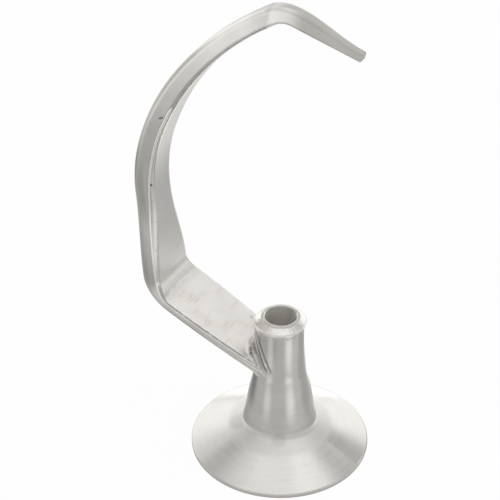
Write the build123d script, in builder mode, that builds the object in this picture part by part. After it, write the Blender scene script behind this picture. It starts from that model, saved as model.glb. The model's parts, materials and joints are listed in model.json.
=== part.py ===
from build123d import *
from math import cos, pi, radians, sin, tan
import os

# Dough hook for a bench mixer: one aluminium casting, standing on its bell.
# Millimetres, +Z up, the bore on the Z axis, the hook in the XZ plane with its arm toward -X.

# the turned body: bell, flared foot of the neck, neck and collar
BELL_RADIUS = 55.0
BELL_EDGE = 2.4
BELL_EDGE_ROUND = 0.9
BELL_TOP_RADIUS = 23.1
BELL_TOP_HEIGHT = 18.0
BELL_SWEEP = 4.0
FLARE_RADIUS = 16.2
FLARE_HEIGHT = 60.0
FLARE_SWEEP = 40.0
NECK_RADIUS = 15.9
NECK_HEIGHT = 94.2
NECK_EDGE_ROUND = 1.2
COLLAR_RADIUS = 12.0
COLLAR_HEIGHT = 96.8
LIP_RADIUS = 10.9
LIP_HEIGHT = 97.8
BORE_RADIUS = 9.6
BORE_CHAMFER = 0.4

# the underside: hollow of the bell round a hub, and the slot that takes the pin of the mixer's shaft
RIM_WIDTH = 4.0
HOLLOW_TOP_RADIUS = 24.0
HOLLOW_ROUND = 3.0
HUB_RADIUS = 15.0
HUB_HEIGHT = 1.0
PIN_SLOT_WIDTH = 8.0
PIN_SLOT_RADIUS = 13.0
PIN_SLOT_TOP = 32.0
PIN_TURN_ANGLE = 55.0

# the bar: its spine runs along the flat inner face, from inside the neck to the tip
ARM_PAST_AXIS = 4.0
ARM_HEIGHT = 64.3
ARM_RISE_ANGLE = 23.7
ARM_LENGTH = 77.4
BEND_RADIUS = 15.1
SIDE_LEAN_ANGLE = 6.0
SIDE_LENGTH = 54.2
BACK_RADIUS = 106.6
BACK_TURN_ANGLE = 25.9
CREST_RADIUS = 190.0
CREST_TURN_ANGLE = 36.0
KNEE_RADIUS = 12.9
KNEE_TURN_ANGLE = 47.8
TIP_LENGTH = 43.6

# width of the bar across the hook, its depth from the inner face to the outer face, and the rounds of its
# inner and outer edges, at its start and at the far end of each stretch
START_WIDTH = 30.2
ARM_WIDTH = 40.4
BEND_WIDTH = 34.8
SIDE_WIDTH = 20.8
BACK_WIDTH = 20.7
CREST_WIDTH = 10.6
KNEE_WIDTH = 8.8
TIP_WIDTH = 5.8
START_DEPTH = 9.4
ARM_DEPTH = 7.6
BEND_DEPTH = 13.6
SIDE_DEPTH = 16.0
BACK_DEPTH = 13.5
CREST_DEPTH = 10.9
KNEE_DEPTH = 10.4
TIP_DEPTH = 5.2
ARM_INNER_ROUND = 1.7
SIDE_INNER_ROUND = 3.0
CREST_INNER_ROUND = 2.4
TIP_INNER_ROUND = 0.8
ARM_OUTER_ROUND = 4.3
SIDE_OUTER_ROUND = 6.5
BACK_OUTER_ROUND = 4.0
CREST_OUTER_ROUND = 3.0
TIP_OUTER_ROUND = 1.6
TIP_ROUND = 0.6
ROOT_FILLET = 4.0
SECTION_STEPS = 4

os.makedirs("parts", exist_ok=True)

arm_start = (ARM_PAST_AXIS, ARM_HEIGHT - ARM_PAST_AXIS * tan(radians(ARM_RISE_ANGLE)))
with BuildLine(Plane.XZ):
    arm = PolarLine(arm_start, ARM_LENGTH, 180 - ARM_RISE_ANGLE)
    bend = JernArc(arm @ 1, arm % 1, BEND_RADIUS, ARM_RISE_ANGLE + SIDE_LEAN_ANGLE - 90)
    side = PolarLine(bend @ 1, SIDE_LENGTH, direction=bend % 1)
    back = JernArc(side @ 1, side % 1, BACK_RADIUS, -BACK_TURN_ANGLE)
    crest = JernArc(back @ 1, back % 1, CREST_RADIUS, -CREST_TURN_ANGLE)
    knee = JernArc(crest @ 1, crest % 1, KNEE_RADIUS, -KNEE_TURN_ANGLE)
    tip = PolarLine(knee @ 1, TIP_LENGTH, direction=knee % 1)

# the stretches of the bar, each with its sizes at its far end: width, depth, inner round and outer round
stretches = (
    (arm, (ARM_WIDTH, ARM_DEPTH, ARM_INNER_ROUND, ARM_OUTER_ROUND)),
    (bend, (BEND_WIDTH, BEND_DEPTH, SIDE_INNER_ROUND, SIDE_OUTER_ROUND)),
    (side, (SIDE_WIDTH, SIDE_DEPTH, SIDE_INNER_ROUND, SIDE_OUTER_ROUND)),
    (back, (BACK_WIDTH, BACK_DEPTH, SIDE_INNER_ROUND, BACK_OUTER_ROUND)),
    (crest, (CREST_WIDTH, CREST_DEPTH, CREST_INNER_ROUND, CREST_OUTER_ROUND)),
    (knee, (KNEE_WIDTH, KNEE_DEPTH, CREST_INNER_ROUND, CREST_OUTER_ROUND)),
    (tip, (TIP_WIDTH, TIP_DEPTH, TIP_INNER_ROUND, TIP_OUTER_ROUND)),
)

with BuildPart() as dough_hook:
    # the bar, one sweep for each stretch, its sizes eased at both ends so that the stretches run together;
    # the arm widens at once from the neck; the knee narrows at once, leaving a crease across its sides
    sizes = (START_WIDTH, START_DEPTH, ARM_INNER_ROUND, ARM_OUTER_ROUND)
    for stretch, end_sizes in stretches:
        for step in range(SECTION_STEPS + 1):
            place = step / SECTION_STEPS
            share = sin(pi * place / 2) if stretch in (arm, knee) else (1 - cos(pi * place)) / 2
            width, depth, inner_round, outer_round = (a + (b - a) * share for a, b in zip(sizes, end_sizes))
            with BuildSketch(Plane(origin=stretch @ place, x_dir=(0, 1, 0), z_dir=stretch % place)):
                with BuildLine():
                    FilletPolyline(
                        (-width / 2, 0),
                        (width / 2, 0),
                        (width / 2, depth),
                        (-width / 2, depth),
                        radius=(inner_round, inner_round, outer_round, outer_round),
                        close=True,
                    )
                make_face()
        sweep(path=stretch, multisection=True)
        sizes = end_sizes
    fillet(dough_hook.faces().sort_by(Axis.X)[-1].edges(), TIP_ROUND)
    # bell, neck and collar, turned about the bore and run into the bar
    with BuildSketch(Plane.XZ):
        with BuildLine():
            FilletPolyline(
                (0, 0),
                (BELL_RADIUS, 0),
                (BELL_RADIUS, BELL_EDGE),
                (BELL_TOP_RADIUS, BELL_TOP_HEIGHT),
                (FLARE_RADIUS, FLARE_HEIGHT),
                (NECK_RADIUS, NECK_HEIGHT),
                (COLLAR_RADIUS, COLLAR_HEIGHT),
                (LIP_RADIUS, COLLAR_HEIGHT),
                (LIP_RADIUS, LIP_HEIGHT),
                (0, LIP_HEIGHT),
                radius=(0, 0, BELL_EDGE_ROUND, BELL_SWEEP, FLARE_SWEEP, NECK_EDGE_ROUND, 0, 0, 0, 0),
                close=True,
            )
        make_face()
    revolve(axis=Axis.Z)
    fillet(dough_hook.edges(Select.NEW), ROOT_FILLET)
    # hollow under the bell, its wall running even with the outside
    bell_slope = (BELL_TOP_HEIGHT - BELL_EDGE) / (BELL_RADIUS - BELL_TOP_RADIUS)
    hollow_height = bell_slope * (BELL_RADIUS - RIM_WIDTH - HOLLOW_TOP_RADIUS)
    with BuildSketch(Plane.XZ):
        with BuildLine():
            FilletPolyline(
                (0, 0),
                (BELL_RADIUS - RIM_WIDTH, 0),
                (HOLLOW_TOP_RADIUS, hollow_height),
                (HUB_RADIUS, hollow_height),
                (HUB_RADIUS, HUB_HEIGHT),
                (0, HUB_HEIGHT),
                radius=(0, 0, HOLLOW_ROUND, HOLLOW_ROUND, 0, 0),
                close=True,
            )
        make_face()
    revolve(axis=Axis.Z, mode=Mode.SUBTRACT)
    # bore right through, and the slot for the shaft's pin: up from below, then round to the lock
    with BuildSketch(Plane.XZ):
        with BuildLine():
            Polyline(
                (0, 0),
                (BORE_RADIUS, 0),
                (BORE_RADIUS, LIP_HEIGHT - BORE_CHAMFER),
                (BORE_RADIUS + BORE_CHAMFER, LIP_HEIGHT),
                (0, LIP_HEIGHT),
                close=True,
            )
        make_face()
    revolve(axis=Axis.Z, mode=Mode.SUBTRACT)
    with BuildSketch(Plane.XY):
        Rectangle(PIN_SLOT_RADIUS, PIN_SLOT_WIDTH, align=(Align.MIN, Align.CENTER))
    extrude(amount=PIN_SLOT_TOP, mode=Mode.SUBTRACT)
    with BuildSketch(Plane.XZ):
        with Locations((0, PIN_SLOT_TOP)):
            Rectangle(PIN_SLOT_RADIUS, PIN_SLOT_WIDTH, align=(Align.MIN, Align.MAX))
    revolve(axis=Axis.Z, revolution_arc=PIN_TURN_ANGLE, mode=Mode.SUBTRACT)

dough_hook.part.label = "dough_hook"
export_step(dough_hook.part, "parts/dough_hook.step")
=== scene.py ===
# %% [markdown]
# A dough hook for a bench mixer, cast in one piece of aluminium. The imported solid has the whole
# shape already, so it is loaded first and stays; the cells after it stand it in a plain studio,
# give the metal its cast, ground, brushed and machined finishes, and add four thin features: the seam
# that the mould leaves, the hand-ground edges of the arm, and the ridges and webs at the arm's root.
# Blender's start-up cube and lamp go, because they would be counted as part of the hook.

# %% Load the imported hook
import json
import math

import bpy
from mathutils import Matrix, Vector
from mathutils.bvhtree import BVHTree

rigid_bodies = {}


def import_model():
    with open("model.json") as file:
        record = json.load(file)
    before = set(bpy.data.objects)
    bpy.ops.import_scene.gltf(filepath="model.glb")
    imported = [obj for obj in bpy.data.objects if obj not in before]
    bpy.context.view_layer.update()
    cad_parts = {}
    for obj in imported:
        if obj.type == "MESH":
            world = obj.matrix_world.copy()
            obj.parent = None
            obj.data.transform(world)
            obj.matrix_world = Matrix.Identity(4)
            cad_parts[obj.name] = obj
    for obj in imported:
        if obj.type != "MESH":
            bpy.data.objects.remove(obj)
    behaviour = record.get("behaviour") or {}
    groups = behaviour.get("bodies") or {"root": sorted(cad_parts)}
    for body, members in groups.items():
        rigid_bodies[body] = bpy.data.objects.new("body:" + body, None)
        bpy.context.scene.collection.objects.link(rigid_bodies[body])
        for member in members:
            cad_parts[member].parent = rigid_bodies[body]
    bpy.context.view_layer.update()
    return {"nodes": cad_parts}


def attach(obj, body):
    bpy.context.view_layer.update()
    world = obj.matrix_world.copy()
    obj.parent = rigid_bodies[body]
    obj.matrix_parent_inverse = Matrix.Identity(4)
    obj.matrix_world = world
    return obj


for thing in list(bpy.data.objects):
    bpy.data.objects.remove(thing)
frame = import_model()
casting = frame["nodes"]["dough_hook"]

# %% [markdown]
# The camera stands at the photograph's angle: to the right of the hook's flat side and well above it.
# A long lens from more than a metre away keeps the bell and the tip in natural proportion. The aim is
# a point between the two, found by laying the solid's outline over the photograph's.

# %% Camera
AIM = Vector((-0.01605, -0.00927, 0.1466))
CAMERA_AZIMUTH = math.radians(30)
CAMERA_ELEVATION = math.radians(36.1)
CAMERA_DISTANCE = 1.320
LENS_LENGTH, SENSOR_WIDTH = 161.3, 36
to_camera = Vector((math.sin(CAMERA_AZIMUTH) * math.cos(CAMERA_ELEVATION),
                    -math.cos(CAMERA_AZIMUTH) * math.cos(CAMERA_ELEVATION),
                    math.sin(CAMERA_ELEVATION)))


def add_to_scene(name, data):
    thing = bpy.data.objects.new(name, data)
    bpy.context.scene.collection.objects.link(thing)
    return thing


lens = bpy.data.cameras.new("photo_camera")
lens.lens = LENS_LENGTH
lens.sensor_width = SENSOR_WIDTH
camera = add_to_scene("photo_camera", lens)
camera.location = AIM + to_camera * CAMERA_DISTANCE
camera.rotation_euler = to_camera.to_track_quat("Z", "Y").to_euler()
bpy.context.scene.camera = camera
print("camera at", [round(v, 3) for v in camera.location])

# %% [markdown]
# Every finish below is a sum of masks, so the shader maths should read like sums on paper. This small
# class wraps one socket of a node tree: plus, minus, times and divide add Math nodes, and `node` makes
# any other node, first with its settings and then with the values or links of its sockets.


# %% A socket that can be added and multiplied
class Socket:
    def __init__(self, tree, output=None):
        self.tree = tree
        self.output = output

    def node(self, kind, settings=None, values=None, take=0):
        made = self.tree.nodes.new(kind)
        for name, value in (settings or {}).items():
            setattr(made, name, value)
        for name, value in (values or {}).items():
            if isinstance(value, Socket):
                self.tree.links.new(value.output, made.inputs[name])
            else:
                made.inputs[name].default_value = value
        return Socket(self.tree, made.outputs[take] if made.outputs else None)

    def math(self, operation, *numbers):
        return self.node("ShaderNodeMath", {"operation": operation}, dict(enumerate(numbers)))

    def __add__(self, other):
        return self.math("ADD", self, other)

    def __sub__(self, other):
        return self.math("SUBTRACT", self, other)

    def __rsub__(self, other):
        return self.math("SUBTRACT", other, self)

    def __mul__(self, other):
        return self.math("MULTIPLY", self, other)

    def __truediv__(self, other):
        return self.math("DIVIDE", self, other)

    def __pow__(self, other):
        return self.math("POWER", self, other)

    def __abs__(self):
        return self.math("ABSOLUTE", self)

    def rise(self, low, high):
        return self.node("ShaderNodeMapRange", {"interpolation_type": "SMOOTHSTEP"},
                         {"Value": self, "From Min": low, "From Max": high})

    def fall(self, low, high):
        return 1 - self.rise(low, high)

    __radd__ = __add__
    __rmul__ = __mul__


def mix_colour(share, first, second):
    values = {0: share, 6: first, 7: second}
    return share.node("ShaderNodeMix", {"data_type": "RGBA"}, values, take=2)


def new_material(name):
    material = bpy.data.materials.new(name)
    material.use_nodes = True
    material.node_tree.nodes.clear()
    return material, Socket(material.node_tree)


print("shader maths ready")

# %% [markdown]
# The hook stands on a white sheet. To the eye of the camera the floor is white and keeps only a faint
# shadow. Bare metal is a mirror, though, and its greys are the greys of the room: a white sheet behind
# the bell, a dim bench beside it, brighter floor in front. So what glossy rays see is drawn here as soft
# patches, in the photograph's directions: across the picture, and along, away from the camera.

# %% Floor
FLOOR_HALF = 3.0
LEFT_GREY, RIGHT_GREY, FRONT_GREY = 0.50, 0.58, 0.90
SHEET_GREY, SHEET_WHITE, FAR_WHITE = 0.95, 1.60, 1.10
# each patch: its middle across and along, how far it is full, where it ends, and its grey
PATCHES = ((0.105, 0.015, 0.025, 0.060, 0.42), (0.072, -0.108, 0.010, 0.050, 0.95),
           (-0.085, -0.092, 0.008, 0.040, 0.82), (-0.100, 0.050, 0.020, 0.060, 0.22),
           (0.0, 0.0, 0.014, 0.030, 1.60))
WHITE_SHARE = 0.96
MATT_WHITE = (0.98, 0.98, 0.98, 1)
floor_mesh = bpy.data.meshes.new("floor")
floor_mesh.from_pydata([(-FLOOR_HALF, -FLOOR_HALF, 0), (FLOOR_HALF, -FLOOR_HALF, 0),
                        (FLOOR_HALF, FLOOR_HALF, 0), (-FLOOR_HALF, FLOOR_HALF, 0)], [], [(0, 1, 2, 3)])
floor = add_to_scene("floor", floor_mesh)
floor_paint, s = new_material("floor_paint")
spot = s.node("ShaderNodeTexCoord", take="Object")
turned = s.node("ShaderNodeMapping", {"vector_type": "TEXTURE"},
                {"Vector": spot, "Rotation": (0, 0, CAMERA_AZIMUTH)})
across, along = (s.node("ShaderNodeSeparateXYZ", None, {0: turned}, take=axis) for axis in "XY")
reach = s.node("ShaderNodeVectorMath", {"operation": "LENGTH"}, {0: spot}, take="Value")
mirrored = LEFT_GREY + (RIGHT_GREY - LEFT_GREY) * across.rise(0.0, 0.08)
mirrored = mirrored + (FRONT_GREY - mirrored) * along.fall(-0.36, -0.20) * across.rise(-0.20, -0.05)
sheet = SHEET_GREY + (SHEET_WHITE - SHEET_GREY) * along.fall(0.12, 0.17)
mirrored = mirrored + (sheet - mirrored) * along.rise(0.05, 0.08) * abs(across - 0.02).fall(0.06, 0.11)
for middle_across, middle_along, full, none, grey in PATCHES:
    aside, away = across - middle_across, along - middle_along
    mirrored = mirrored + (grey - mirrored) * ((aside * aside + away * away) ** 0.5).fall(full, none)
mirrored = mirrored + (FAR_WHITE - mirrored) * reach.rise(0.42, 0.56)
camera_ray, glossy_ray, through_ray = (s.node("ShaderNodeLightPath", take=f"Is {kind} Ray")
                                       for kind in ("Camera", "Glossy", "Transmission"))
plain_ray = s.math("MAXIMUM", camera_ray, through_ray)
matt = s.node("ShaderNodeBsdfDiffuse", None, {"Color": MATT_WHITE})
white = s.node("ShaderNodeEmission", None, {"Color": plain_ray + glossy_ray * mirrored})
seen = s.math("MAXIMUM", plain_ray, glossy_ray)
painted = s.node("ShaderNodeMixShader", None, {0: seen * WHITE_SHARE, 1: matt, 2: white})
s.node("ShaderNodeOutputMaterial", None, {"Surface": painted})
floor_mesh.materials.append(floor_paint)
print("floor", 2 * FLOOR_HALF, "m square")

# %% [markdown]
# The light is plain and soft: a tent that is dim half way up and brighter low down, overhead and behind,
# a panel behind and to the right, which the ground face of the arm mirrors, and a faint one overhead.
# A lamp doesn't hide the tent behind it, so the metal sees the sum of both, and the panels stay weak.
# A panel's brightness in the metal is its power divided by pi times its area.

# %% Light
MIDDLE = Vector((0, 0, 0.12))


def panel(name, place, size, brightness):
    lamp = bpy.data.lights.new(name, "AREA")
    lamp.shape = "RECTANGLE"
    lamp.size, lamp.size_y = size
    lamp.energy = brightness * math.pi * size[0] * size[1]
    stand = add_to_scene(name, lamp)
    stand.location = place
    stand.rotation_euler = (Vector(place) - MIDDLE).to_track_quat("Z", "Y").to_euler()
    print(name, "gives", round(lamp.energy, 2), "W")


panel("back_panel", (0.22, 0.95, 1.42), (0.7, 0.7), 0.34)
panel("top_panel", (0.0, 0.0, 1.60), (0.9, 0.9), 0.10)
TENT_SIDE, TENT_LOW, TENT_LEFT, TENT_RIGHT = 0.51, 0.84, 0.80, 1.02
TENT_FRONT, TENT_TOP, BACKDROP = 0.66, 0.85, 1.16
tent = bpy.data.worlds.new("tent")
tent.use_nodes = True
tent.node_tree.nodes.clear()
bpy.context.scene.world = tent
s = Socket(tent.node_tree)
toward = s.node("ShaderNodeTexCoord", take="Generated")
height = s.node("ShaderNodeSeparateXYZ", None, {0: toward}, take="Z")
ahead = (math.sin(CAMERA_AZIMUTH), -math.cos(CAMERA_AZIMUTH), 0)
right = (math.cos(CAMERA_AZIMUTH), math.sin(CAMERA_AZIMUTH), 0)
front, aside = (s.node("ShaderNodeVectorMath", {"operation": "DOT_PRODUCT"}, {0: toward, 1: way},
                       take="Value") for way in (ahead, right))
wall = TENT_SIDE + (TENT_LOW - TENT_SIDE) * height.fall(0.30, 0.52)
left_wall = aside.fall(-0.45, -0.20) * front.fall(-0.50, -0.30) * height.fall(0.58, 0.78)
wall = wall + (TENT_LEFT - wall) * left_wall
wall = wall + (TENT_FRONT - wall) * front.rise(-0.1, 0.4)
wall = wall + (TENT_TOP - wall) * height.rise(0.74, 0.95)
wall = wall + (TENT_RIGHT - wall) * aside.rise(0.10, 0.28) * height.rise(0.84, 0.92)
wall = wall + (BACKDROP - wall) * height.fall(0.33, 0.58) * front.fall(-0.52, -0.36)
camera_ray, through_ray = (s.node("ShaderNodeLightPath", take=f"Is {kind} Ray")
                           for kind in ("Camera", "Transmission"))
plain_ray = s.math("MAXIMUM", camera_ray, through_ray)
sky = s.node("ShaderNodeBackground", None, {"Color": wall + (1 - wall) * plain_ray})
s.node("ShaderNodeOutputWorld", None, {"Surface": sky})
print("tent has", len(tent.node_tree.nodes), "nodes")

# %% [markdown]
# The metal is one material with four finishes. The bar is as it left the mould, satin and slightly grainy;
# the arm's upper face and the collar are ground bright by hand; the bell and neck are brushed on a lathe;
# and the bore is machined and stained. Masks in millimetres from the hook's own place and the way that the
# surface faces say which finish is where, so nothing has to be unwrapped. Narrower masks paint shade and
# light into the colour at single places, such as the shade beside the web and under the collar, the
# highlight and shade at the crease of the knee, and the darker bands down the bar's side.

# %% Where each finish lies, and where shade and light are painted
HOOK_MIDDLE = (-5.0, 190.0)
metal, s = new_material("hook_metal")
place = s.node("ShaderNodeVectorMath", {"operation": "SCALE"},
               {0: s.node("ShaderNodeTexCoord", take="Object"), "Scale": 1000.0})
x, y, z = (s.node("ShaderNodeSeparateXYZ", None, {0: place}, take=axis) for axis in "XYZ")
facing = s.node("ShaderNodeNewGeometry", take="Normal")
face_x, face_y, face_z = (s.node("ShaderNodeSeparateXYZ", None, {0: facing}, take=axis) for axis in "XYZ")
from_axis = (x * x + y * y) ** 0.5
bell = z.fall(20.0, 27.0)
flare = s.math("MAXIMUM", 60.0 - z, 0.0) * 0.164
neck = (from_axis - flare).fall(16.6, 18.0) * z.fall(98.5, 101.0) * (1 - bell)
bar = (1 - bell) * (1 - neck)
bore = from_axis.fall(9.7, 9.95) * z.fall(97.0, 97.6)
ARM_RISE = math.radians(23.7)
along_arm = face_x * math.sin(ARM_RISE) + face_z * math.cos(ARM_RISE)
inside_x, inside_z = HOOK_MIDDLE[0] - x, HOOK_MIDDLE[1] - z
inward = (face_x * inside_x + face_z * inside_z) / (inside_x * inside_x + inside_z * inside_z) ** 0.5
edge = bar * abs(face_y).rise(0.15, 0.40) * abs(face_y).fall(0.85, 0.97)
inner_edge = edge * inward.rise(0.08, 0.30)
tip = z.rise(272.0, 276.0) * x.rise(2.0, 16.0)
crest = bar * z.rise(246.0, 288.0) * (1 - tip)
arm_side = bar * z.fall(92.0, 104.0) * abs(face_y).rise(0.60, 0.85)
above_back = s.math("MAXIMUM", z - 160.0, 0.0)
behind_face = -75.8 - 0.105 * (z - 105.9) + above_back * above_back / 213.0 - x
# painted shade: two darker bands down the upright's side, a dark reflection painted into the colour
side_painted_dark_band = bar * behind_face.rise(6.0, 7.5) * behind_face.fall(9.5, 12.5)
side_painted_dark_band = side_painted_dark_band * z.rise(96.0, 110.0) * z.fall(172.0, 192.0)
side_painted_shade = bar * behind_face.rise(2.2, 3.5) * behind_face.fall(6.0, 8.0)
side_painted_shade = side_painted_shade * z.rise(112.0, 124.0) * z.fall(146.0, 158.0)
# painted shade: the outer side of the crest, the top round of the tip and the back edge are darkened
crest_back_painted_shade = crest * inward.fall(-0.55, -0.30) * abs(face_y).fall(0.10, 0.45)
tip_round_painted_shade = tip * edge * face_z.rise(0.55, 0.80)
back_round_painted_shade = edge * inward.fall(-0.30, -0.05) * z.rise(160.0, 185.0) * z.fall(262.0, 288.0)
# painted highlight and painted shade on the two sides of the crease at the knee
past_crease = x + 6.0 + (308.5 - z) * 0.21
knee_painted_highlight = z.rise(296.0, 300.0) * past_crease.rise(-0.7, 0.7) * x.fall(-4.0, 9.0)
knee_painted_shade = z.rise(285.0, 292.0) * x.rise(-24.0, -9.0) * past_crease.fall(-0.7, 0.7)
WEB_TOP, WEB_FOOT = (-11.2, 91.0), (1.2, 64.0)
web_slope = (WEB_FOOT[0] - WEB_TOP[0]) / (WEB_FOOT[1] - WEB_TOP[1])
beside_web = abs(x - WEB_TOP[0] - (z - WEB_TOP[1]) * web_slope)
# the groove beside the web is a dip in the relief, and is painted darker as shade
groove_and_shade = abs(beside_web - 1.5).fall(0.5, 1.4) * y.fall(-9.0, -7.0) * neck
groove_and_shade = groove_and_shade * z.rise(63.0, 67.0) * z.fall(89.0, 93.0)
# painted shade on the neck beside the web
under_web = (x - WEB_TOP[0] - (z - WEB_TOP[1]) * web_slope).fall(-2.0, -0.5)
shade = under_web * y.fall(-6.0, -4.0) * from_axis.fall(17.5, 19.0) * z.rise(64.0, 68.0) * z.fall(90.0, 94.0)
# painted light: the upward-facing part of the lower bend is made lighter
bend_painted_light = bar * z.rise(90.0, 97.0) * z.fall(120.0, 128.0) * face_z.rise(0.05, 0.25) * face_z.fall(0.62, 0.80)
# painted shade on the neck under the collar's ragged edge
under_collar_painted_shade = neck * z.rise(70.0, 84.0) * z.fall(91.0, 93.0) * y.fall(-8.0, -4.0) * x.fall(3.0, 8.0)
foot_zone = z.rise(12.0, 15.0) * z.fall(24.0, 28.0) * from_axis.rise(17.0, 18.0) * face_z.rise(-0.2, 0.0)
# painted light: the valley between the arm's end and the web gets the bright ground colour
valley_painted_light = from_axis.fall(19.0, 22.0) * abs(y).rise(5.0, 8.0) * x.fall(-10.0, -6.0)
valley_painted_light = valley_painted_light * z.rise(64.0, 70.0) * z.fall(90.0, 96.0)


def grain(size, detail=2.0, stretch=(1, 1, 1), vector=None):
    vector = vector or s.node("ShaderNodeVectorMath", {"operation": "DIVIDE"}, {0: place, 1: stretch})
    return s.node("ShaderNodeTexNoise", None, {"Vector": vector, "Scale": 1 / size, "Detail": detail})


print("finishes: cast bar, ground arm and collar, brushed bell and neck, machined bore")

# %% [markdown]
# Brushing leaves lines that run round the turned parts. Noise that changes fast away from the axis (on the
# bell) or up it (on the neck), and hardly at all round it, gives such lines without any seam.

# %% Marks of the tools, and spots of painted shade
up_the_turning = bell * from_axis + (1 - bell) * z
round_it = s.node("ShaderNodeCombineXYZ", None,
                  {"X": up_the_turning, "Y": x / from_axis * 2.0, "Z": y / from_axis * 2.0})
brush_lines = grain(0.45, 2.0, vector=round_it)
brush_bands = grain(3.0, 1.0, vector=round_it)
cast_grain = grain(0.9, 3.0)
cast_waves = grain(14.0, 2.0)
grind_strokes = grain(1.2, 3.0, stretch=(1.0, 7.0, 1.0))
grind_patches = grain(9.0, 3.0, stretch=(1.0, 1.6, 1.0))
lumps = grain(4.0, 2.0)
ragged = along_arm + 0.16 * (grind_patches - 0.5)
arm_face = bar * z.fall(106.0, 116.0) * ragged.rise(0.905, 0.955)
# painted shade: a dark, wavy line along the edges of the arm's sides
arm_edge_painted_shade = bar * z.fall(100.0, 108.0) * abs(face_y).rise(0.20, 0.35)
arm_edge_painted_shade = arm_edge_painted_shade * along_arm.rise(0.40, 0.62) * along_arm.fall(0.90, 0.96)
collar = neck * (z + 9.0 * (lumps - 0.5)).rise(91.2, 92.6) * from_axis.rise(9.9, 10.3)
arm_end = arm_face * from_axis.fall(19.0, 25.0)
PIT_SPACING = 9.0
cells = s.node("ShaderNodeTexVoronoi", None, {"Vector": place, "Scale": 1 / PIT_SPACING})
cell_mark = s.node("ShaderNodeTexVoronoi", None, {"Vector": place, "Scale": 1 / PIT_SPACING}, take="Color")
chance = s.node("ShaderNodeSeparateColor", None, {0: cell_mark}, take="Red")
# pits are small dips in the relief, painted near black as the shade inside them
pits = cells.fall(0.03, 0.06) * chance.rise(0.86, 0.88) * bar * (1 - arm_face)


def mark(middle, reach_xyz):
    away = s.node("ShaderNodeVectorMath", {"operation": "SUBTRACT"}, {0: place, 1: middle})
    away = s.node("ShaderNodeVectorMath", {"operation": "DIVIDE"}, {0: away, 1: reach_xyz})
    return s.node("ShaderNodeVectorMath", {"operation": "LENGTH"}, {0: away}, take="Value").fall(0.55, 1.0)


pits = s.math("MAXIMUM", pits, mark((-83.6, -10.0, 170.1), (0.8, 2.0, 0.9)))
NOTCH_PLACE, NOTCH_SLANT = (-75.2, 220.2), math.radians(30)
notch_x, notch_z = x - NOTCH_PLACE[0], z - NOTCH_PLACE[1]
beside = notch_x * math.cos(NOTCH_SLANT) + notch_z * math.sin(NOTCH_SLANT)
above = notch_z * math.cos(NOTCH_SLANT) - notch_x * math.sin(NOTCH_SLANT) - beside * beside * 0.06
# the notch is a dip in the relief, painted dark as the shade inside it
notch = (beside * beside / 6.0 + above * above / 0.40).fall(0.35, 1.0) * y.fall(-8.5, -7.0)
# the dents are dips in the relief, and are painted darker as shade
dents = s.math("MAXIMUM", mark((-28.1, 13.5, 76.6), (1.6, 1.6, 3.0)),
               mark((-14.0, -12.0, 71.5), (0.9, 1.1, 2.0)))
# painted shade at two places where the neck runs out on the bell
foot_painted_shade = s.math("MAXIMUM", mark((10.9, -20.4, 18.9), (6.0, 5.0, 5.0)),
              mark((-22.0, -15.0, 17.0), (9.0, 9.0, 5.0)))
print("tool marks: brush lines, cast grain, grinding strokes, dents and pits")

# %% [markdown]
# Colour, roughness and relief each start from the cast bar and are changed where another finish lies.
# The colour also holds painted shade and painted light, each named at its mask.
# The relief is given in millimetres, and the Bump node's distance turns it into metres. Where the neck runs
# out on the bell, the facing is eased from one to the other, so that the ring there is softer. The mould's
# seam stands proud and is rubbed bright in use, so it gets a plain metal of its own.

# %% Metal
CAST = (0.65, 0.632, 0.600, 1)
GROUND = (0.96, 0.935, 0.895, 1)
WARM = (0.82, 0.72, 0.655, 1)
CREST_PAINTED_REFLECTION = (0.93, 0.91, 0.872, 1)
BRUSHED = (0.79, 0.771, 0.733, 1)
WORN_AND_HIGHLIGHT = (0.72, 0.70, 0.67, 1)
MACHINED = (0.97, 0.955, 0.92, 1)
PIT_SHADE = (0.10, 0.095, 0.09, 1)
RUBBED_ROUGHNESS = 0.36
NECK_FACING, BELL_FACING = (0.987, 0.162), (0.44, 0.90)
# the inner edge below the crest is lighter: wear, and a painted highlight where its round catches the light
colour = mix_colour(inner_edge * z.fall(214.0, 224.0), CAST, WORN_AND_HIGHLIGHT)
# painted reflection: the crest gets a lighter colour
colour = mix_colour(crest * (1 - inner_edge), colour, CREST_PAINTED_REFLECTION)
colour = mix_colour(s.math("MAXIMUM", arm_side * 0.8, s.math("MAXIMUM", knee_painted_highlight, valley_painted_light)), colour, GROUND)
colour = mix_colour(bell + neck, colour, BRUSHED)
stain = grind_patches.rise(0.48, 0.72) * grind_strokes.rise(0.35, 0.65)
colour = mix_colour(s.math("MAXIMUM", arm_face, collar * 0.6), colour, mix_colour(stain * 0.8, GROUND, WARM))
colour = mix_colour(bore, colour, MACHINED)
# painted shade in the pits and the notch
colour = mix_colour(s.math("MAXIMUM", pits, notch * 0.7), colour, PIT_SHADE)
# tone: random waves and brush marks, plus painted shade on the side bands, upper inner edge, dents, foot,
# crest back, tip round, knee, groove, web, collar and arm edges; painted light on the bend; the tip a touch
# darker
tone = 0.92 + 0.16 * cast_waves * (1 - 0.5 * bell) - 0.03 * tip - 0.16 * side_painted_dark_band - 0.14 * side_painted_shade
tone = tone - 0.15 * inner_edge * z.rise(224.0, 236.0) * lumps.rise(0.3, 0.6) - 0.25 * dents - 0.12 * foot_painted_shade
tone = tone - 0.26 * crest_back_painted_shade - 0.10 * tip_round_painted_shade - 0.14 * knee_painted_shade - 0.35 * groove_and_shade - 0.36 * back_round_painted_shade
tone = tone + 0.12 * bend_painted_light - 0.22 * shade - 0.16 * under_collar_painted_shade
tone = tone - arm_edge_painted_shade * (0.42 * lumps.rise(0.28, 0.50) + 0.38 * face_y.rise(0.20, 0.40))
tone = tone + (bell + neck) * (0.12 * (brush_lines - 0.5) + 0.06 * (brush_bands - 0.5))
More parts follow.
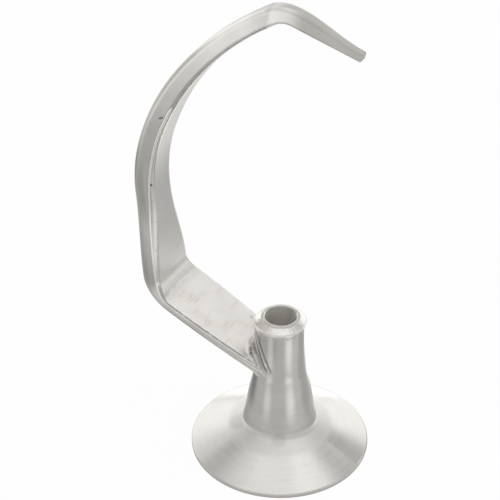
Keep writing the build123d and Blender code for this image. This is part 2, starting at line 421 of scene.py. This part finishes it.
colour = s.node("ShaderNodeVectorMath", {"operation": "SCALE"}, {0: colour, "Scale": tone})
rough = 0.30 + 0.10 * (cast_grain - 0.5) + 0.08 * arm_face + 0.06 * collar + 0.40 * bore - 0.04 * edge
rough = rough + (bell + neck) * (0.10 * (brush_bands - 0.5) - 0.12) + 0.14 * crest + 0.26 * tip
rough = rough + 0.20 * foot_zone
relief = (bar * 0.012 * cast_grain + bar * 0.10 * cast_waves
          + (bell + neck) * (1 - bore) * 0.011 * brush_lines + arm_face * 0.015 * grind_strokes
          + (collar * 0.40 + arm_end * 0.20) * lumps - pits * 0.25 - notch * 0.3
          - dents * 0.2 - groove_and_shade * 0.35)
leaned = (from_axis - z).rise(-1.0, 7.0)
outward = (NECK_FACING[0] + (BELL_FACING[0] - NECK_FACING[0]) * leaned) / from_axis
upward = NECK_FACING[1] + (BELL_FACING[1] - NECK_FACING[1]) * leaned
swept = s.node("ShaderNodeCombineXYZ", None, {"X": x * outward, "Y": y * outward, "Z": upward})
smooth = s.node("ShaderNodeMix", {"data_type": "VECTOR"}, {0: foot_zone, 4: facing, 5: swept}, take=1)
bumps = s.node("ShaderNodeBump", None,
               {"Height": relief, "Distance": 0.001, "Strength": 1.0, "Normal": smooth})
surface = s.node("ShaderNodeBsdfPrincipled", None, {"Base Color": colour, "Metallic": 1.0, "Roughness": rough,
                                                    "Normal": bumps})
s.node("ShaderNodeOutputMaterial", None, {"Surface": surface})
casting.data.materials[0] = metal
rubbed, s = new_material("rubbed_metal")
surface = s.node("ShaderNodeBsdfPrincipled", None,
                 {"Base Color": GROUND, "Metallic": 1.0, "Roughness": RUBBED_ROUGHNESS})
s.node("ShaderNodeOutputMaterial", None, {"Surface": surface})
print("metal has", len(metal.node_tree.nodes), "nodes")

# %% [markdown]
# Four thin features run along the casting. A mould opens along a line, and a little metal creeps into the
# gap between its halves: it stays as a seam on both sides of the upright, up to the place where it was
# ground off. The arm's long upper edges were ground by hand, so they wander. Where the arm joins the neck,
# its sides run on for a little way as a ridge that dies out, and a low web climbs from there to the collar.
# The first three follow the bar's inner face, which is a chain of straight and round stretches, and the web
# is a straight line seen from the side. A ray cast at the solid finds the metal beside each point.

# %% Paths along the bar
BAR_START = (4.0, 62.54)
BAR_HEADING = 156.3
BAR_STRETCHES = ((77.4, 0), (15.9, -60.3), (54.2, 0), (48.2, -25.9), (119.4, -36.0))
STEP = 1.0
solid = BVHTree.FromPolygons([v.co for v in casting.data.vertices],
                             [p.vertices for p in casting.data.polygons])


def inner_face():
    (px, pz), heading, gone = BAR_START, math.radians(BAR_HEADING), 0.0
    for length, turn in BAR_STRETCHES:
        steps = round(length / STEP)
        for _ in range(steps):
            heading += math.radians(turn) / steps / 2
            px, pz = px + math.cos(heading) * length / steps, pz + math.sin(heading) * length / steps
            heading += math.radians(turn) / steps / 2
            gone += length / steps
            yield gone, px, pz, heading


def behind_face_at(start, end, depth_at):
    return [(px - math.sin(heading) * depth_at(gone), pz + math.cos(heading) * depth_at(gone))
            for gone, px, pz, heading in inner_face() if start < gone < end]


def on_both_sides(spots, inset_at):
    chains = []
    for side in (-1, 1):
        chain = []
        for number, (px, pz) in enumerate(spots):
            hit = solid.ray_cast(Vector((px, side * 60, pz)) / 1000, Vector((0, -side, 0)))[0]
            chain.append(hit - Vector((0, side * inset_at(number / (len(spots) - 1)), 0)))
        chains.append(chain)
    return chains


SEAM_FROM, SEAM_TO = 76.0, 224.0
SEAM_DEPTH, SEAM_BULGE, BULGE_AT, BULGE_REACH = 1.9, 2.3, 133.0, 25.0
SEAM_RADIUS, SEAM_PROUD = 0.00085, 0.00030
EDGE_FROM, EDGE_TO, EDGE_RADIUS = 26.0, 86.0, 0.0017
seam_spots = behind_face_at(SEAM_FROM, SEAM_TO, lambda gone: SEAM_DEPTH + SEAM_BULGE
                            * math.exp(-((gone - BULGE_AT) / BULGE_REACH) ** 2))
seam_path = on_both_sides(seam_spots, lambda share: SEAM_RADIUS - SEAM_PROUD)
edge_spots = behind_face_at(EDGE_FROM, EDGE_TO, lambda gone: EDGE_RADIUS * 1000)
edge_path = on_both_sides(edge_spots, lambda share: EDGE_RADIUS)
ROOT_FROM, ROOT_TO, ROOT_RADIUS, ROOT_DEPTH, ROOT_SUNK = 1.0, 26.0, 0.0027, 3.2, 0.70
root_spots = behind_face_at(ROOT_FROM, ROOT_TO, lambda gone: ROOT_DEPTH)
root_path = on_both_sides(root_spots, lambda share: ROOT_SUNK * ROOT_RADIUS * (1 - abs(2 * share - 1)))
WEB_RADIUS, WEB_PROUD, WEB_STEPS = 0.0014, 0.00045, 28
web_spots = [(WEB_TOP[0] + web_slope * (pz - WEB_TOP[1]), pz) for pz in
             (WEB_TOP[1] + (WEB_FOOT[1] - WEB_TOP[1]) * step / WEB_STEPS for step in range(WEB_STEPS + 1))]
web_path = on_both_sides(web_spots, lambda share: WEB_RADIUS - WEB_PROUD)
print("points on each side:", len(seam_spots), len(edge_spots), len(root_spots), "and", len(web_spots))

# %% [markdown]
# One Geometry Nodes tree sweeps a round bead along each path. The bead lies mostly inside the metal and
# fades out at both ends. Noise moves it by a hair and swells it here and there, so that a seam doesn't
# look ruled and a ground edge looks as uneven as a hand leaves it. The seed is fixed, so every run gives
# the same bead.

# %% Tree that sweeps a bead
WANDER_SCALE, SWELL_SCALE, RING_POINTS = 90.0, 110.0, 16
tree = bpy.data.node_groups.new("sweep_bead", "GeometryNodeTree")
tree.is_modifier = True
for name, kind in (("Path", "Geometry"), ("Bead Radius", "Float"), ("Fade", "Float"), ("Wander", "Float"),
                   ("Swell", "Float"), ("Seed", "Float"), ("Metal", "Material")):
    tree.interface.new_socket(name, in_out="INPUT", socket_type=f"NodeSocket{kind}")
tree.interface.new_socket("Bead", in_out="OUTPUT", socket_type="NodeSocketGeometry")
g = Socket(tree)
given = g.node("NodeGroupInput").output.node
take = {socket.name: Socket(tree, socket) for socket in given.outputs}
line = g.node("GeometryNodeMeshToCurve", None, {"Mesh": take["Path"]})
wobble = g.node("ShaderNodeTexNoise", {"noise_dimensions": "4D"},
                {"W": take["Seed"], "Scale": WANDER_SCALE}, take="Color")
centred = g.node("ShaderNodeVectorMath", {"operation": "SUBTRACT"}, {0: wobble, 1: (0.5, 0.5, 0.5)})
nudge = g.node("ShaderNodeVectorMath", {"operation": "SCALE"}, {0: centred, "Scale": take["Wander"]})
line = g.node("GeometryNodeSetPosition", None, {"Geometry": line, "Offset": nudge})
share = g.node("GeometryNodeSplineParameter", take="Factor")
ends = g.math("MINIMUM", share, 1 - share) / take["Fade"]
uneven = g.node("ShaderNodeTexNoise", {"noise_dimensions": "4D"},
                {"W": take["Seed"] + 3.0, "Scale": SWELL_SCALE})
thickness = g.math("MINIMUM", ends, 1.0) * (1 + take["Swell"] * (uneven - 0.5))
ring = g.node("GeometryNodeCurvePrimitiveCircle", None,
              {"Resolution": RING_POINTS, "Radius": take["Bead Radius"]})
bead = g.node("GeometryNodeCurveToMesh", None,
              {"Curve": line, "Profile Curve": ring, "Scale": thickness, "Fill Caps": True})
bead = g.node("GeometryNodeSetShadeSmooth", None, {"Geometry": bead})
bead = g.node("GeometryNodeRealizeInstances", None, {"Geometry": bead})
bead = g.node("GeometryNodeSetMaterial", None, {"Geometry": bead, "Material": take["Metal"]})
g.node("NodeGroupOutput", None, {"Bead": bead})
print("bead tree has", len(tree.nodes), "nodes")

# %% [markdown]
# The tree is used four times.

# %% Mould seam, ground edges, root ridges and webs


def bead_along(name, chains, settings):
    first = len(chains[0])
    points = chains[0] + chains[1]
    path = bpy.data.meshes.new(name)
    path.from_pydata(points, [(i, i + 1) for i in range(len(points) - 1) if i + 1 != first], [])
    piece = add_to_scene(name, path)
    sweep = piece.modifiers.new("sweep_bead", "NODES")
    sweep.node_group = tree
    for socket in tree.interface.items_tree:
        if socket.name in settings:
            sweep[socket.identifier] = settings[socket.name]
    piece.data = bpy.data.meshes.new_from_object(piece.evaluated_get(bpy.context.evaluated_depsgraph_get()))
    piece.modifiers.clear()
    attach(piece, "root")
    print(name, "has", len(piece.data.polygons), "faces")


bead_along("mould_seam", seam_path,
           {"Bead Radius": SEAM_RADIUS, "Fade": 0.05, "Wander": 0.00015, "Swell": 0.3,
            "Seed": 7.0, "Metal": rubbed})
bead_along("ground_edges", edge_path,
           {"Bead Radius": EDGE_RADIUS, "Fade": 0.10, "Wander": 0.0004, "Swell": 0.55,
            "Seed": 11.0, "Metal": metal})
bead_along("root_ridges", root_path,
           {"Bead Radius": ROOT_RADIUS, "Fade": 0.5, "Wander": 0.0001, "Swell": 0.2,
            "Seed": 5.0, "Metal": metal})
bead_along("root_webs", web_path,
           {"Bead Radius": WEB_RADIUS, "Fade": 0.15, "Wander": 0.0004, "Swell": 0.4,
            "Seed": 9.0, "Metal": metal})

# %% [markdown]
# Last, the colours are shown as they are, without a film look. What has been added may not make the hook
# larger than the imported solid.

# %% Finish
bpy.context.scene.view_settings.view_transform = "Standard"
